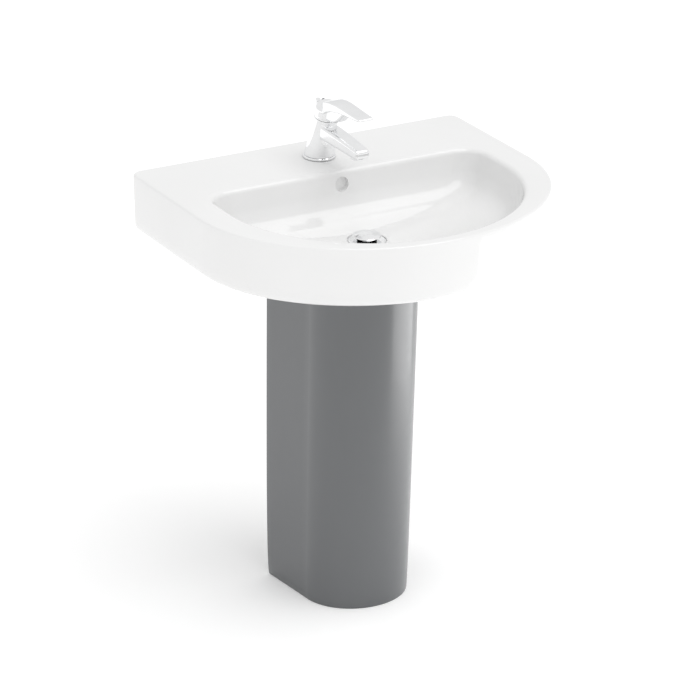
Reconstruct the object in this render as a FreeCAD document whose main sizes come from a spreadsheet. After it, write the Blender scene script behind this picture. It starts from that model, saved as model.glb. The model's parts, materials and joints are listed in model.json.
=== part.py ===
"""Pedestal wash basin with a single-lever mixer tap, a pop-up waste and a bottle trap.

Row frame: millimetres, +Z up, the front of the basin faces -Y and the wall is the plane
y = wall_plane. The origin is on the floor, under the middle of the whole object.
"""
import FreeCAD, Part
import math
import os
import re

import Sketcher
from FreeCAD import Placement, Rotation, Vector

DIMENSIONS = (
    # the basin casting
    ("basin_half_width", 350, "half of the overall width"),
    ("wall_plane", 280, "back face of the basin, against the wall"),
    ("rim_height", 820, "top of the rim above the floor"),
    ("apron_height", 115, "height of the outer skirt"),
    ("apron_draft", 4.5, "how much the skirt draws in towards its lower edge"),
    ("apron_round", 17, "rounding of the skirt's lower edge"),
    ("rim_round", 5, "rounding of the rim's outer edge"),
    ("back_corner", 14, "plan radius of the two back corners"),
    ("straight_side_end", 24, "where the straight sides turn into the front ellipse"),
    ("skirt_wall", 13, "skirt wall at the top, 6 more at the foot"),
    ("deck_thick", 14, "thickness of the tap deck"),
    ("bowl_wall", 10, "thickness of the bowl"),
    # the bowl
    ("bowl_half_width", 286, "half width of the bowl below its rolled lip"),
    ("bowl_back", 113, "back wall of the bowl"),
    ("bowl_front", -252, "front wall of the bowl"),
    ("lip_roll", 11, "radius of the rolled lip"),
    ("bowl_floor", 716, "height of the bowl floor at the waste"),
    ("bowl_corner", 42, "plan radius of the bowl's back corners"),
    ("overflow_radius", 14, "overflow hole"),
    ("overflow_drop", 27, "overflow centre below the rim"),
    ("wall_hole_radius", 7, "holes for the wall bolts"),
    ("wall_hole_spacing", 280, "distance between the wall bolts"),
    ("wall_hole_drop", 60, "wall bolts below the rim"),
    ("tap_hole_radius", 17.5, "tap hole in the deck"),
    # the pedestal
    ("seat_height", 700, "underside of the basin where the pedestal carries it"),
    ("seat_pad", 2, "thickness of the seat gasket"),
    ("foot_half_back", 115.5, "half width of the foot at its back edge"),
    ("foot_half_mid", 105, "half width where the side meets the front ellipse"),
    ("foot_front_depth", 94, "depth of the front ellipse at the foot"),
    ("pedestal_back", 156, "open back edge of the pedestal"),
    ("pedestal_mid", 36.5, "centre of the front ellipse"),
    ("flare_back", 16.4, "how much the back edges widen up to the top"),
    ("flare_front", 5.4, "how much the front widens up to the top"),
    ("pedestal_wall", 11, "thickness of the pedestal"),
    ("lug_hole_radius", 4, "floor screw holes"),
    ("lug_hole_spacing", 164, "distance between the floor screws"),
    ("lug_hole_back", 122, "floor screws from the origin"),
    # the tap
    ("tap_back", 196, "centre of the tap base"),
    ("tap_lean", 14.5, "forward lean of the tap body in degrees"),
    ("tap_base_radius", 29.6, "foot of the tap body"),
    ("tap_top_radius", 22, "top of the tap body"),
    ("tap_body_top", 88, "length of the body along its leaning axis"),
    ("base_plate_thick", 3.8, "base plate"),
    ("tap_gasket_thick", 1.2, "gasket under the base plate"),
    ("spout_tip", 38, "front end of the spout"),
    ("spout_half_width", 18, "half width of the spout at the body"),
    ("aerator_back", 60, "centre of the aerator"),
    ("lever_tip", 30, "front edge of the lever"),
    ("lever_half_width", 16, "half width of the lever blade"),
    ("lever_top", 128.6, "top of the lever blade above the rim"),
    ("tilt_pivot", 90, "tilt axis along the leaning axis"),
    ("turret_radius", 21.5, "ball of the swivel turret"),
    ("hood_radius", 22.6, "hood of the lever"),
    ("tail_spread", 9, "copper tails from the middle, in the tap"),
    ("tail_back", 196, "copper tails from the origin"),
    ("tail_radius", 4, "copper tails"),
    ("tail_bore", 3.1, "inside of the copper tails"),
    ("tail_end_spread", 45, "lower ends of the tails from the middle"),
    ("tail_end_radius", 5, "thicker lower ends of the tails"),
    ("tail_end_length", 30, "length of the thicker ends"),
    ("tail_bend", 22, "radius of the tails' bends"),
    ("tail_top_bend", 770, "height of the tails' upper bend"),
    ("tail_low_bend", 705, "height of the tails' lower bend"),
    ("tail_end", 560, "lower end of the copper tails"),
    ("stud_back", 184, "tap stud from the origin"),
    ("stud_radius", 4, "tap stud"),
    # the pop-up linkage and the waste
    ("rod_back", 203.5, "lift rod from the origin"),
    ("rod_radius", 2.5, "lift rod and pivot rod"),
    ("knob_height", 919, "underside of the lift knob"),
    ("waste_back", 18, "waste axis from the origin"),
    ("ball_offset", 28, "pivot ball behind the waste axis"),
    ("ball_height", 655, "pivot ball above the floor"),
    ("ball_radius", 6, "pivot ball"),
    ("rod_rest_angle", -6.52, "pivot rod at rest, plug up"),
    ("plug_lift", 6.4, "plug above its seat at rest"),
    ("waste_radius", 22, "threaded waste tube"),
    ("waste_bore", 19, "inside of the waste tube"),
    ("flange_radius", 35, "waste flange"),
    ("pipe_radius", 16, "tailpipe and outlet pipe"),
    ("pipe_bore", 14.5, "inside of the pipes"),
    ("outlet_height", 535, "axis of the outlet pipe"),
)

doc = FreeCAD.newDocument("PedestalBasin")
sheet = doc.addObject("Spreadsheet::Sheet", "Dims")
ALIASES = {alias for alias, value, note in DIMENSIONS}
NODES = []


def fill_sheet():
    """One row per dimension: name, value with its alias, and what it is."""
    for row, (alias, value, note) in enumerate(DIMENSIONS, start=1):
        sheet.set("A%d" % row, alias)
        sheet.set("B%d" % row, str(value))
        sheet.set("C%d" % row, note)
        sheet.setAlias("B%d" % row, alias)
    doc.recompute()


def size(alias):
    """The value of one cell."""
    return float(sheet.get(alias))


def formula(text):
    """An expression written with bare aliases, as FreeCAD reads it."""
    def name(match):
        word = match.group()
        return "Dims." + word if word in ALIASES else word
    return re.sub(r"[a-z_]+", name, text)


def number(text):
    """The value of an expression."""
    return float(sheet.evalExpression(formula(text)))


def bind(obj, **sizes):
    """Ties properties to expressions."""
    for prop, text in sizes.items():
        obj.setExpression(prop, formula(text))


TURNS = {
    "up": Rotation(),
    "back": Rotation(Vector(1, 0, 0), -90),
    "right": Rotation(Vector(0, 1, 0), 90),
    "lean": None,
}


def stand(obj, at=("0", "0", "0"), way="up"):
    """Puts an object's origin at a bound point, with its own Z pointing one way."""
    turn = TURNS[way] or Rotation(Vector(1, 0, 0), size("tap_lean"))
    obj.Placement = Placement(Vector(*[number(text) for text in at]), turn)
    for axis, text in zip("xyz", at):
        obj.setExpression("Placement.Base." + axis, formula(text))
    return obj


def node(obj, label):
    """Marks a finished sub-part."""
    obj.Label = label
    NODES.append(obj)
    return obj


def cylinder(name, radius, length, at=("0", "0", "0"), way="up"):
    obj = doc.addObject("Part::Cylinder", name)
    bind(obj, Radius=radius, Height=length)
    return stand(obj, at, way)


def ball(name, radius, at, way="up"):
    obj = doc.addObject("Part::Sphere", name)
    bind(obj, Radius=radius)
    return stand(obj, at, way)


def block(name, low, high):
    """A box between two corners."""
    obj = doc.addObject("Part::Box", name)
    spans = ["(%s) - (%s)" % (top, bottom) for bottom, top in zip(low, high)]
    bind(obj, Length=spans[0], Width=spans[1], Height=spans[2])
    return stand(obj, low)


def prism(name, radius, length, at, way="up"):
    """A hexagon bar, radius at its corners."""
    obj = doc.addObject("Part::Prism", name)
    obj.Polygon = 6
    bind(obj, Circumradius=radius, Height=length)
    return stand(obj, at, way)


def solid(name, shape):
    """A shape made with Part's own functions."""
    obj = doc.addObject("Part::Feature", name)
    obj.Shape = shape
    return obj


def fuse(name, *parts):
    obj = doc.addObject("Part::MultiFuse", name)
    obj.Shapes = list(parts)
    return obj


def cut(name, base, *tools):
    obj = doc.addObject("Part::Cut", name)
    obj.Base = base
    obj.Tool = tools[0] if len(tools) == 1 else fuse(name + "Tools", *tools)
    return obj


def carried(name, part):
    """A part wrapped so that a second placement can carry it."""
    obj = doc.addObject("Part::Compound", name)
    obj.Links = [part]
    return obj


def keep_common(name, *parts):
    obj = doc.addObject("Part::MultiCommon", name)
    obj.Shapes = list(parts)
    return obj


def pin_point(sketch, line, x_text, y_text):
    """Ties the start of a sketch line to a bound point."""
    for kind, axis, text in (("DistanceX", -2, x_text), ("DistanceY", -1, y_text)):
        value = number(text)
        if abs(value) < 1e-6:
            sketch.addConstraint(Sketcher.Constraint("PointOnObject", line, 1, axis))
        else:
            index = sketch.addConstraint(Sketcher.Constraint(kind, -1, 1, line, 1, value))
            sketch.setExpression("Constraints[%d]" % index, formula(text))


def turned(label, corners, at=("0", "0", "0"), way="up"):
    """A body turned about its own Z, from (radius, height) corners."""
    body = doc.addObject("PartDesign::Body", label)
    plane = [part for part in body.Origin.OriginFeatures if part.Role == "XZ_Plane"][0]
    sketch = body.newObject("Sketcher::SketchObject", label + "_profile")
    sketch.AttachmentSupport = [(plane, "")]
    sketch.MapMode = "FlatFace"
    spots = [Vector(number(radius), number(height), 0) for radius, height in corners]
    count = len(spots)
    for index, spot in enumerate(spots):
        sketch.addGeometry(Part.LineSegment(spot, spots[(index + 1) % count]), False)
    for index, (radius, height) in enumerate(corners):
        following = (index + 1) % count
        sketch.addConstraint(Sketcher.Constraint("Coincident", index, 2, following, 1))
        pin_point(sketch, index, radius, height)
    spin = body.newObject("PartDesign::Revolution", label + "_turn")
    spin.Profile = sketch
    spin.ReferenceAxis = (sketch, ["V_Axis"])
    spin.Angle = 360
    body.Tip = spin
    return stand(body, at, way)


def ring(label, inner, outer, length, at, way="up"):
    """A plain ring or tube, from its lower face up."""
    corners = [(inner, "0"), (outer, "0"), (outer, length), (inner, length)]
    return turned(label, corners, at, way)


def d_wire(half, back, middle, front, corner, level):
    """Plan outline with a straight back, round back corners and an elliptical front."""
    flat = half - corner
    near = back - corner
    slope = corner * math.sqrt(0.5)
    right_knee = Vector(flat + slope, near + slope, level)
    left_knee = Vector(-flat - slope, near + slope, level)
    front_oval = Part.Ellipse(Vector(0, middle, level), half, middle - front)
    edges = [
        Part.LineSegment(Vector(-flat, back, level), Vector(flat, back, level)),
        Part.Arc(Vector(flat, back, level), right_knee, Vector(half, near, level)),
        Part.LineSegment(Vector(half, near, level), Vector(half, middle, level)),
        Part.ArcOfEllipse(front_oval, math.pi, 2 * math.pi),
        Part.LineSegment(Vector(-half, middle, level), Vector(-half, near, level)),
        Part.Arc(Vector(-half, near, level), left_knee, Vector(-flat, back, level)),
    ]
    return Part.Wire(Part.__sortEdges__([edge.toShape() for edge in edges]))


def outer_casting():
    """The skirt as a solid block, its top and bottom edges rounded."""
    top = size("rim_height")
    bottom = top - size("apron_height")
    half = size("basin_half_width")
    front = -size("wall_plane")
    back = size("wall_plane")
    middle = size("straight_side_end")
    corner = size("back_corner")
    beyond = back + 3 * corner
    draft = size("apron_draft")
    spread = draft * size("rim_round") / (size("apron_height") - size("rim_round"))
    wires = [
        d_wire(half - draft, beyond, middle, front + draft, corner, bottom),
        d_wire(half + spread, beyond, middle, front - spread, corner, top),
    ]
    keep = Part.makeBox(4 * half, 4 * half, 4 * half, Vector(-2 * half, back - 4 * half, 0))
    block_shape = Part.makeLoft(wires, True, True).common(keep)
    upright = [edge for edge in block_shape.Edges
               if edge.BoundBox.YMin > back - 0.01 and edge.BoundBox.ZLength > 50]
    block_shape = block_shape.makeFillet(corner, upright)
    for level, radius in ((bottom, size("apron_round")), (top, size("rim_round"))):
        edges = [edge for edge in block_shape.Edges
                 if abs(edge.BoundBox.ZMin - level) < 0.01 and abs(edge.BoundBox.ZMax - level) < 0.01]
        block_shape = block_shape.makeFillet(radius, edges)
    return block_shape


def underside_hollow():
    """The space inside the skirt, open below."""
    top = size("rim_height") - size("deck_thick")
    half = size("basin_half_width")
    back = size("wall_plane")
    middle = size("straight_side_end")
    wall = size("skirt_wall")
    foot_wall = wall + 6
    below = size("rim_height") - size("apron_height") - 5
    wires = [
        d_wire(half - foot_wall, back - wall, middle, foot_wall - back, 20, below),
        d_wire(half - wall, back - wall, middle, wall - back, 20, top),
    ]
    return Part.makeLoft(wires, True, True)


def bowl_rows():
    """Level and inset of each bowl section: (height, side, back, front insets)."""
    rim = size("rim_height")
    floor = size("bowl_floor")
    depth = rim - size("lip_roll") - floor
    rows = [(rim + 4, -size("lip_roll"), -size("lip_roll"), -size("lip_roll"))]
    for angle in (86, 60, 32, 0):
        out = size("lip_roll") * (1 - math.cos(math.radians(angle)))
        level = rim - size("lip_roll") * (1 - math.sin(math.radians(angle)))
        rows.append((level, -out, -out, -out))
    shape = (
        (0.54, 12, 8, 18), (0.32, 38, 22, 44), (0.18, 80, 38, 86),
        (0.085, 136, 47, 134), (0.028, 192, 52, 182), (0.0, 238, 55, 226),
    )
    for share, side, back, front in shape:
        rows.append((floor + depth * share, side, back, front))
    return rows


def bowl_shape(grow, sink):
    """The bowl's hollow, or its outer form when it is grown and sunk by the wall."""
    wires = []
    for level, side, back, front in bowl_rows():
        half = size("bowl_half_width") - side + grow
        behind = size("bowl_back") - back + grow
        before = size("bowl_front") + front - grow
        corner = min(size("bowl_corner"), behind - size("waste_back") - 8)
        wires.append(d_wire(half, behind, size("waste_back"), before, corner, level - sink))
    return Part.makeLoft(wires, True, False, False, 3)


def u_wire(level, inset, stretch=0.0):
    """Pedestal outline at one height: straight back, converging sides, elliptical front."""
    top = size("seat_height") - size("seat_pad")
    share = max(level, 0.0) / top
    half_back = size("foot_half_back") + size("flare_back") * share ** 0.45
    half_mid = size("foot_half_mid") + size("flare_front") * share ** 0.6
    depth = size("foot_front_depth") + size("flare_front") * share ** 0.6 - inset
    middle = size("pedestal_mid")
    back = size("pedestal_back") + stretch
    run = size("pedestal_back") - middle
    half_back = half_mid + (half_back - half_mid) * (back - middle) / run - inset
    half_mid = half_mid - inset
    oval = Part.Ellipse(Vector(0, middle, level), half_mid, depth)
    edges = [
        Part.LineSegment(Vector(-half_back, back, level), Vector(half_back, back, level)),
        Part.LineSegment(Vector(half_back, back, level), Vector(half_mid, middle, level)),
        Part.ArcOfEllipse(oval, math.pi, 2 * math.pi),
        Part.LineSegment(Vector(-half_mid, middle, level), Vector(-half_back, back, level)),
    ]
    return Part.Wire(Part.__sortEdges__([edge.toShape() for edge in edges]))


def make_basin():
    """The casting: skirt, deck, bowl, overflow duct, seat for the pedestal and its holes."""
    seat = number("seat_height")
    outer = solid("SkirtBlock", outer_casting())
    hollow = solid("SkirtHollow", underside_hollow())
    shell = cut("Skirt", outer, hollow)
    wall = size("bowl_wall")
    bowl_outer = solid("BowlOuter", bowl_shape(wall, wall + 1))
    half = "basin_half_width"
    room = block("BelowDeck", ("0 - " + half, "0 - wall_plane", "seat_height - 40"),
                 (half, "wall_plane", "rim_height - rim_round"))
    bowl_skin = keep_common("BowlSkin", bowl_outer, room)
    band = Part.Face(u_wire(seat - size("seat_pad"), 0)).cut(Part.Face(u_wire(seat - size("seat_pad"), 16)))
    band.translate(Vector(0, 0, size("seat_pad")))
    seat_rib = solid("SeatRib", band.extrude(Vector(0, 0, 42)))
    boss = cylinder("WasteBoss", "waste_radius + 18", "30", ("0", "waste_back", "seat_height - 10"))
    duct_drop = block("DuctDrop", ("-24", "bowl_back + 2", "seat_height - 4"),
                      ("24", "bowl_back + 38", "rim_height - 8"))
    duct_run = block("DuctRun", ("-22", "waste_back + 10", "seat_height - 10"),
                     ("22", "bowl_back + 38", "bowl_floor - 2"))
    body = fuse("BasinBody", shell, bowl_skin, seat_rib, boss, duct_drop, duct_run)
    tools = [
        solid("BowlHollow", bowl_shape(0, 0)),
        cylinder("WasteHole", "waste_radius + 1", "80", ("0", "waste_back", "seat_height - 40")),
        cylinder("WasteRecess", "flange_radius + 1.5", "40", ("0", "waste_back", "bowl_floor - 3")),
        cylinder("OverflowHole", "overflow_radius", "30",
                 ("0", "bowl_back - 8", "rim_height - overflow_drop"), "back"),
        block("DuctDropBore", ("-14", "bowl_back + 12", "seat_height - 4"),
              ("14", "bowl_back + 28", "rim_height - 15")),
        block("DuctRunBore", ("-14", "waste_back", "seat_height - 3"),
              ("14", "bowl_back + 28", "seat_height + 5")),
        cylinder("TapHole", "tap_hole_radius", "40", ("0", "tap_back", "rim_height - 30")),
    ]
    for side, sign in (("Left", "-"), ("Right", "")):
        across = sign + "wall_hole_spacing / 2"
        tools.append(cylinder("WallHole" + side, "wall_hole_radius", "40",
                              (across, "wall_plane - 30", "rim_height - wall_hole_drop"), "back"))
    node(cut("BasinCasting", body, *tools), "basin")


def make_pedestal():
    """A shell open at the back, tied by two webs, with two lugs for the floor screws."""
    top = number("seat_height - seat_pad")
    levels = (0.0, 0.05, 0.15, 0.35, 0.65, 1.0)
    outer = Part.makeLoft([u_wire(top * share, 0) for share in levels], True, False, False, 3)
    hollow_rows = [u_wire(top * share, size("pedestal_wall"), 30) for share in levels]
    inner = Part.makeLoft(hollow_rows, True, False, False, 3)
    shell = cut("PedestalShell", solid("PedestalOuter", outer), solid("PedestalInner", inner))
    parts = [shell]
    for name, low in (("LowerWeb", 60), ("UpperWeb", 582)):
        web = Part.Face(u_wire(low, 3)).extrude(Vector(0, 0, 20))
        limit = Part.makeBox(400, 12, 20, Vector(-200, number("pedestal_back - 12"), low))
        parts.append(solid(name, web.common(limit)))
    for side, sign in (("Left", "-"), ("Right", "")):
        centre = number(sign + "lug_hole_spacing / 2")
        pad = Part.Face(u_wire(0, 3)).extrude(Vector(0, 0, 12))
        limit = Part.makeBox(80, 46, 12, Vector(centre - 20 if centre > 0 else centre - 60,
                                                number("lug_hole_back - 18"), 0))
        parts.append(solid("Lug" + side, pad.common(limit)))
    body = fuse("PedestalBody", *parts)
    holes = [cylinder("LugHole" + side, "lug_hole_radius", "20",
                      (sign + "lug_hole_spacing / 2", "lug_hole_back", "-4"))
             for side, sign in (("Left", "-"), ("Right", ""))]
    node(cut("PedestalCasting", body, *holes), "pedestal")


def make_seat_gasket():
    """A soft strip on the pedestal's top edge."""
    level = number("seat_height - seat_pad")
    strip = Part.Face(u_wire(level, 1)).cut(Part.Face(u_wire(level, 10)))
    strip = strip.extrude(Vector(0, 0, size("seat_pad")))
    opening = Part.makeBox(400, 40, 10, Vector(-200, number("pedestal_back - 10"), level - 4))
    node(solid("SeatStrip", strip.cut(opening)), "seat_gasket")


def rounded_wire(across, low, high, corner, y_place):
    """A rounded rectangle in an XZ plane."""
    mid = (low + high) / 2
    tall = (high - low) / 2
    corner = min(corner, across - 0.5, tall - 0.5)
    slope = corner * (1 - math.sqrt(0.5))
    edges = []
    corners = ((1, 1), (-1, 1), (-1, -1), (1, -1))
    for index, (sx, sz) in enumerate(corners):
        top = Vector(sx * (across - corner), y_place, mid + sz * tall)
        side = Vector(sx * across, y_place, mid + sz * (tall - corner))
        knee = Vector(sx * (across - slope), y_place, mid + sz * (tall - slope))
        start, end = (side, top) if index % 2 == 0 else (top, side)
        edges.append(Part.Arc(start, knee, end).toShape())
    straight = []
    for index, edge in enumerate(edges):
        start = edge.Curve.value(edge.LastParameter)
        following = edges[(index + 1) % 4]
        end = following.Curve.value(following.FirstParameter)
        straight.append(Part.LineSegment(start, end).toShape())
    return Part.Wire(Part.__sortEdges__(edges + straight))


def lean_point(along):
    """A point on the tap's leaning axis."""
    angle = math.radians(size("tap_lean"))
    return Vector(0, size("tap_back") - along * math.sin(angle), size("rim_height") + along * math.cos(angle))


def tap_column():
    """The leaning cone of the tap body, cut level at its foot."""
    cone = doc.addObject("Part::Cone", "ColumnCone")
    bind(cone, Radius1="tap_base_radius + 0.2", Radius2="tap_top_radius", Height="tap_body_top + 16")
    stand(cone, ("0", "0", "0 - 16"))
    leaning = stand(carried("ColumnLean", cone), ("0", "tap_back", "rim_height"), "lean")
    foot = block("ColumnFoot", ("-60", "tap_back - 60", "rim_height - 60"),
                 ("60", "tap_back + 60", "rim_height + tap_gasket_thick + base_plate_thick"))
    return cut("TapColumn", leaning, foot)


def spout_bar():
    """The level spout, a little narrower towards its rounded tip."""
    rim = size("rim_height")
    tip = size("spout_tip")
    half = size("spout_half_width")
    rows = (
        (182, half, 46, 72, 7), (140, half - 0.6, 46, 70.5, 7), (90, half - 1.8, 45, 67, 6.5),
        (tip + 10, half - 3, 44, 62.8, 6), (tip + 3, half - 4.2, 44.8, 61.8, 5),
        (tip, half - 7, 46.5, 59.5, 4),
    )
    wires = [rounded_wire(across, rim + low, rim + high, corner, place)
             for place, across, low, high, corner in rows]
    return Part.makeLoft(wires, True, False, False, 3)


def make_tap_body():
    """Column and spout in one casting, with its cartridge chamber, bores and rod hole."""
    body = fuse("TapBlank", tap_column(), solid("SpoutBar", spout_bar()))
    rear = ("0", "tap_back", "rim_height")
    chamber = turned("ChamberCut", [("0", "46"), ("13", "46"), ("13", "74"), ("17", "74"), ("17", "100"),
                                    ("0", "100")], rear, "lean")
    tools = [
        chamber,
        cylinder("RodBore", "rod_radius + 0.4", "140", ("0", "rod_back", "rim_height")),
        cylinder("StudBore", "stud_radius + 0.05", "26", ("0", "stud_back", "rim_height")),
        cylinder("SpoutChannel", "5.5", "120", ("0", "aerator_back", "rim_height + 53"), "back"),
        cylinder("AeratorBore", "10", "19.5", ("0", "aerator_back", "rim_height + 40")),
        cylinder("AeratorSeat", "12.1", "13", ("0", "aerator_back", "rim_height + 40")),
    ]
    for side, sign in (("Hot", "-"), ("Cold", "")):
        tools.append(cylinder("TailBore" + side, "tail_radius + 0.1", "48",
                              (sign + "tail_spread", "tail_back", "rim_height")))
    node(cut("TapCasting", body, *tools), "tap_body")


def make_tap_trim():
    """Base plate, gasket and aerator."""
    foot = ("0", "tap_back", "rim_height")
    node(ring("tap_gasket", "tap_hole_radius - 0.5", "tap_base_radius - 1", "tap_gasket_thick", foot),
         "tap_gasket")
    plate = [
        ("tap_hole_radius - 0.5", "0"), ("tap_base_radius + 1", "0"),
        ("tap_base_radius + 1", "base_plate_thick - 1"),
        ("tap_base_radius + 0.2", "base_plate_thick"), ("tap_hole_radius - 0.5", "base_plate_thick"),
    ]
    above = ("0", "tap_back", "rim_height + tap_gasket_thick")
    node(turned("tap_base_plate", plate, above), "tap_base_plate")
    under = ("0", "aerator_back", "rim_height + 40")
    collar = [
        ("8", "0"), ("11.4", "0"), ("12", "0.8"), ("12", "12.9"), ("9.95", "12.9"), ("9.95", "19"),
        ("8", "19"),
    ]
    node(turned("aerator_housing", collar, under), "aerator_housing")
    screen = cylinder("ScreenDisc", "7.9", "14", ("0", "aerator_back", "rim_height + 42"))
    holes = []
    for place in range(6):
        angle = math.radians(60 * place)
        across = "%.4f" % (5.2 * math.cos(angle))
        along = "aerator_back + %.4f" % (5.2 * math.sin(angle))
        holes.append(cylinder("ScreenHole%d" % place, "1.6", "20", (across, along, "rim_height + 40")))
    holes.append(cylinder("ScreenHoleMid", "1.6", "20", ("0", "aerator_back", "rim_height + 40")))
    node(cut("AeratorScreen", screen, *holes), "aerator_insert")


def make_cartridge():
    """Ceramic-disc cartridge, its retaining nut, the swivelling carrier and the turret."""
    rear = ("0", "tap_back", "rim_height")
    for label, inner, outer, low, high in (
        ("cartridge_body", "0", "12.6", "46.2", "76"),
        ("cartridge_nut", "12.7", "16.9", "74.3", "88.4"),
        ("cartridge_carrier", "8.5", "12.3", "76.3", "88.8"),
    ):
        corners = [(inner, low), (outer, low), (outer, high), (inner, high)]
        node(turned(label, corners, rear, "lean"), label)
    turret_ball = ball("TurretBall", "turret_radius", ("0", "0", "tilt_pivot"))
    slab = cylinder("TurretSlab", "40", "15.2", ("0", "0", "tilt_pivot - 1.2"))
    hole = cylinder("TurretHole", "11.5", "60", ("0", "0", "tilt_pivot - 30"))
    turret = cut("TurretRing", keep_common("TurretCap", turret_ball, slab), hole)
    node(stand(turret, rear, "lean"), "swivel_turret")


def lever_blade():
    """The level blade of the lever, thinning towards its front edge."""
    top = number("rim_height + lever_top")
    half = size("lever_half_width")
    tip = size("lever_tip")
    rows = (
        (168, half - 3, 15, 11.6, 5), (158, half + 1.4, 24, 7, 6), (146, half + 2.8, 20, 3.6, 6),
        (132, half + 2.8, 17, 1.3, 5), (112, half + 1.9, 14, 0, 4.4), (86, half + 0.9, 10, 1, 3.6),
        (58, half + 0.4, 7.3, 2.6, 2.8), (tip + 8, half, 5.4, 3.3, 2.2), (tip + 2, half - 0.6, 4.4, 3.8, 1.8),
        (tip, half - 2, 3.2, 4.4, 1.2),
    )
    wires = [rounded_wire(across, top - drop - thick, top - drop, corner, place)
             for place, across, thick, drop, corner in rows]
    return Part.makeLoft(wires, True, False, False, 3)


def lever_prow():
    """The narrow front of the hood, which sweeps up into the underside of the blade."""
    rim = size("rim_height")
    rows = ((168, 12, 84, 112, 5), (146, 12, 86, 118, 5), (128, 11.8, 88, 120, 5), (118, 11.5, 93, 122, 5),
            (104, 11, 105, 124, 5), (92, 10.5, 115.4, 124.6, 4))
    wires = [rounded_wire(across, rim + low, rim + high, corner, place)
             for place, across, low, high, corner in rows]
    return Part.makeLoft(wires, True, False, False, 3)


def make_lever():
    """Hood and blade in one casting, with the stem, its grub screw and the index button."""
    rear = ("0", "tap_back", "rim_height")
    dome = [
        ("0", "90"), ("hood_radius", "90"), ("hood_radius", "104"), ("hood_radius - 0.7", "108.4"),
        ("hood_radius - 2.6", "112.6"), ("hood_radius - 6", "116.4"), ("hood_radius - 11", "119.2"),
        ("hood_radius - 17", "120.8"), ("0", "121.4"),
    ]
    hood = turned("HoodBlank", dome, rear, "lean")
    blade = solid("LeverBlade", lever_blade())
    prow = solid("LeverProw", lever_prow())
    cavity = stand(ball("HoodCavity", "turret_radius + 0.4", ("0", "0", "0")), rear, "lean")
    pivot = lean_point(size("tilt_pivot"))
    cavity.setExpression("Placement.Base.y", formula("tap_back - tilt_pivot * sin(tap_lean * 1 deg)"))
    cavity.setExpression("Placement.Base.z", formula("rim_height + tilt_pivot * cos(tap_lean * 1 deg)"))
    trim = Part.makeBox(90, 60, 60, Vector(-45, -30, -60))
    trim_turn = Rotation(Vector(1, 0, 0), size("tap_lean") + 13)
    trim.Placement = Placement(pivot + trim_turn.multVec(Vector(0, 0, 6.6)), trim_turn)
    rim_cut = solid("HoodRimCut", trim)
    stem_hole = cylinder("StemHole", "4.05", "30", ("0", "0", "90"))
    stem_hole = stand(carried("StemHoleLean", stem_hole), rear, "lean")
    screw_bar = cylinder("ScrewHole", "3.5", "40", ("0", "4", "113.5"), "back")
    screw_hole = stand(carried("ScrewHoleLean", screw_bar), rear, "lean")
    node(cut("LeverCasting", fuse("LeverBlank", hood, blade, prow), cavity, rim_cut, stem_hole, screw_hole),
         "lever_handle")
    stem = turned("StemBar", [("0", "84"), ("4", "84"), ("4", "119"), ("0", "119")], ("0", "0", "0"))
    cross_pin = cylinder("StemPin", "1.8", "13", ("0 - 6.5", "0", "tilt_pivot"), "right")
    node(stand(fuse("StemLean", stem, cross_pin), rear, "lean"), "lever_stem")
    grub = cut("GrubScrew", cylinder("GrubBar", "3.4", "8", ("0", "4.1", "113.5"), "back"),
               prism("GrubSocket", "1.8", "5", ("0", "8.1", "113.5"), "back"))
    node(stand(grub, rear, "lean"), "lever_screw")
    button = turned("ButtonBlank", [("0", "0"), ("3.4", "0"), ("3.4", "3.2"), ("2.6", "3.9"), ("0", "4.1")],
                    ("0", "hood_radius - 7", "113.5"), "back")
    node(stand(carried("ButtonLean", button), rear, "lean"), "index_button")


def make_tap_fixing():
    """Stud, deck washer, horseshoe plate and nut under the deck, and the copper tails."""
    node(cylinder("tap_stud", "stud_radius", "70", ("0", "stud_back", "rim_height - 46")), "tap_stud")
    for label, drop in (("deck_washer", 3), ("horseshoe_plate", 6)):
        level = "rim_height - deck_thick - %d" % drop
        disc = cylinder(label + "_disc", "26", "3", ("0", "tap_back", level))
        stud_hole = cylinder(label + "_stud", "stud_radius + 0.3", "9", ("0", "stud_back", level + " - 3"))
        slot = block(label + "_slot", ("0 - 15.5", "tap_back - 7", level + " - 3"),
                     ("15.5", "tap_back + 43", level + " + 6"))
        node(cut(label + "_cut", disc, stud_hole, slot), label)
    nut_at = ("0", "stud_back", "rim_height - deck_thick - 26")
    nut = prism("NutBar", "7.5", "20", nut_at)
    node(cut("NutCut", nut, cylinder("NutBore", "stud_radius + 0.05", "20", nut_at)), "tap_nut")
    for label, side, sign in (("hot_tail", -1, "-"), ("cold_tail", 1, "")):
        tube = solid(label + "_tube", tail_tube(side, size("tail_radius")))
        bore = solid(label + "_bore", tail_tube(side, size("tail_bore")))
        sleeve = ring(label + "_end", "tail_bore", "tail_end_radius", "tail_end_length",
                      (sign + "tail_end_spread", "tail_back", "tail_end"))
        node(fuse(label + "_pipe", cut(label + "_hollow", tube, bore), sleeve), label)


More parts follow.
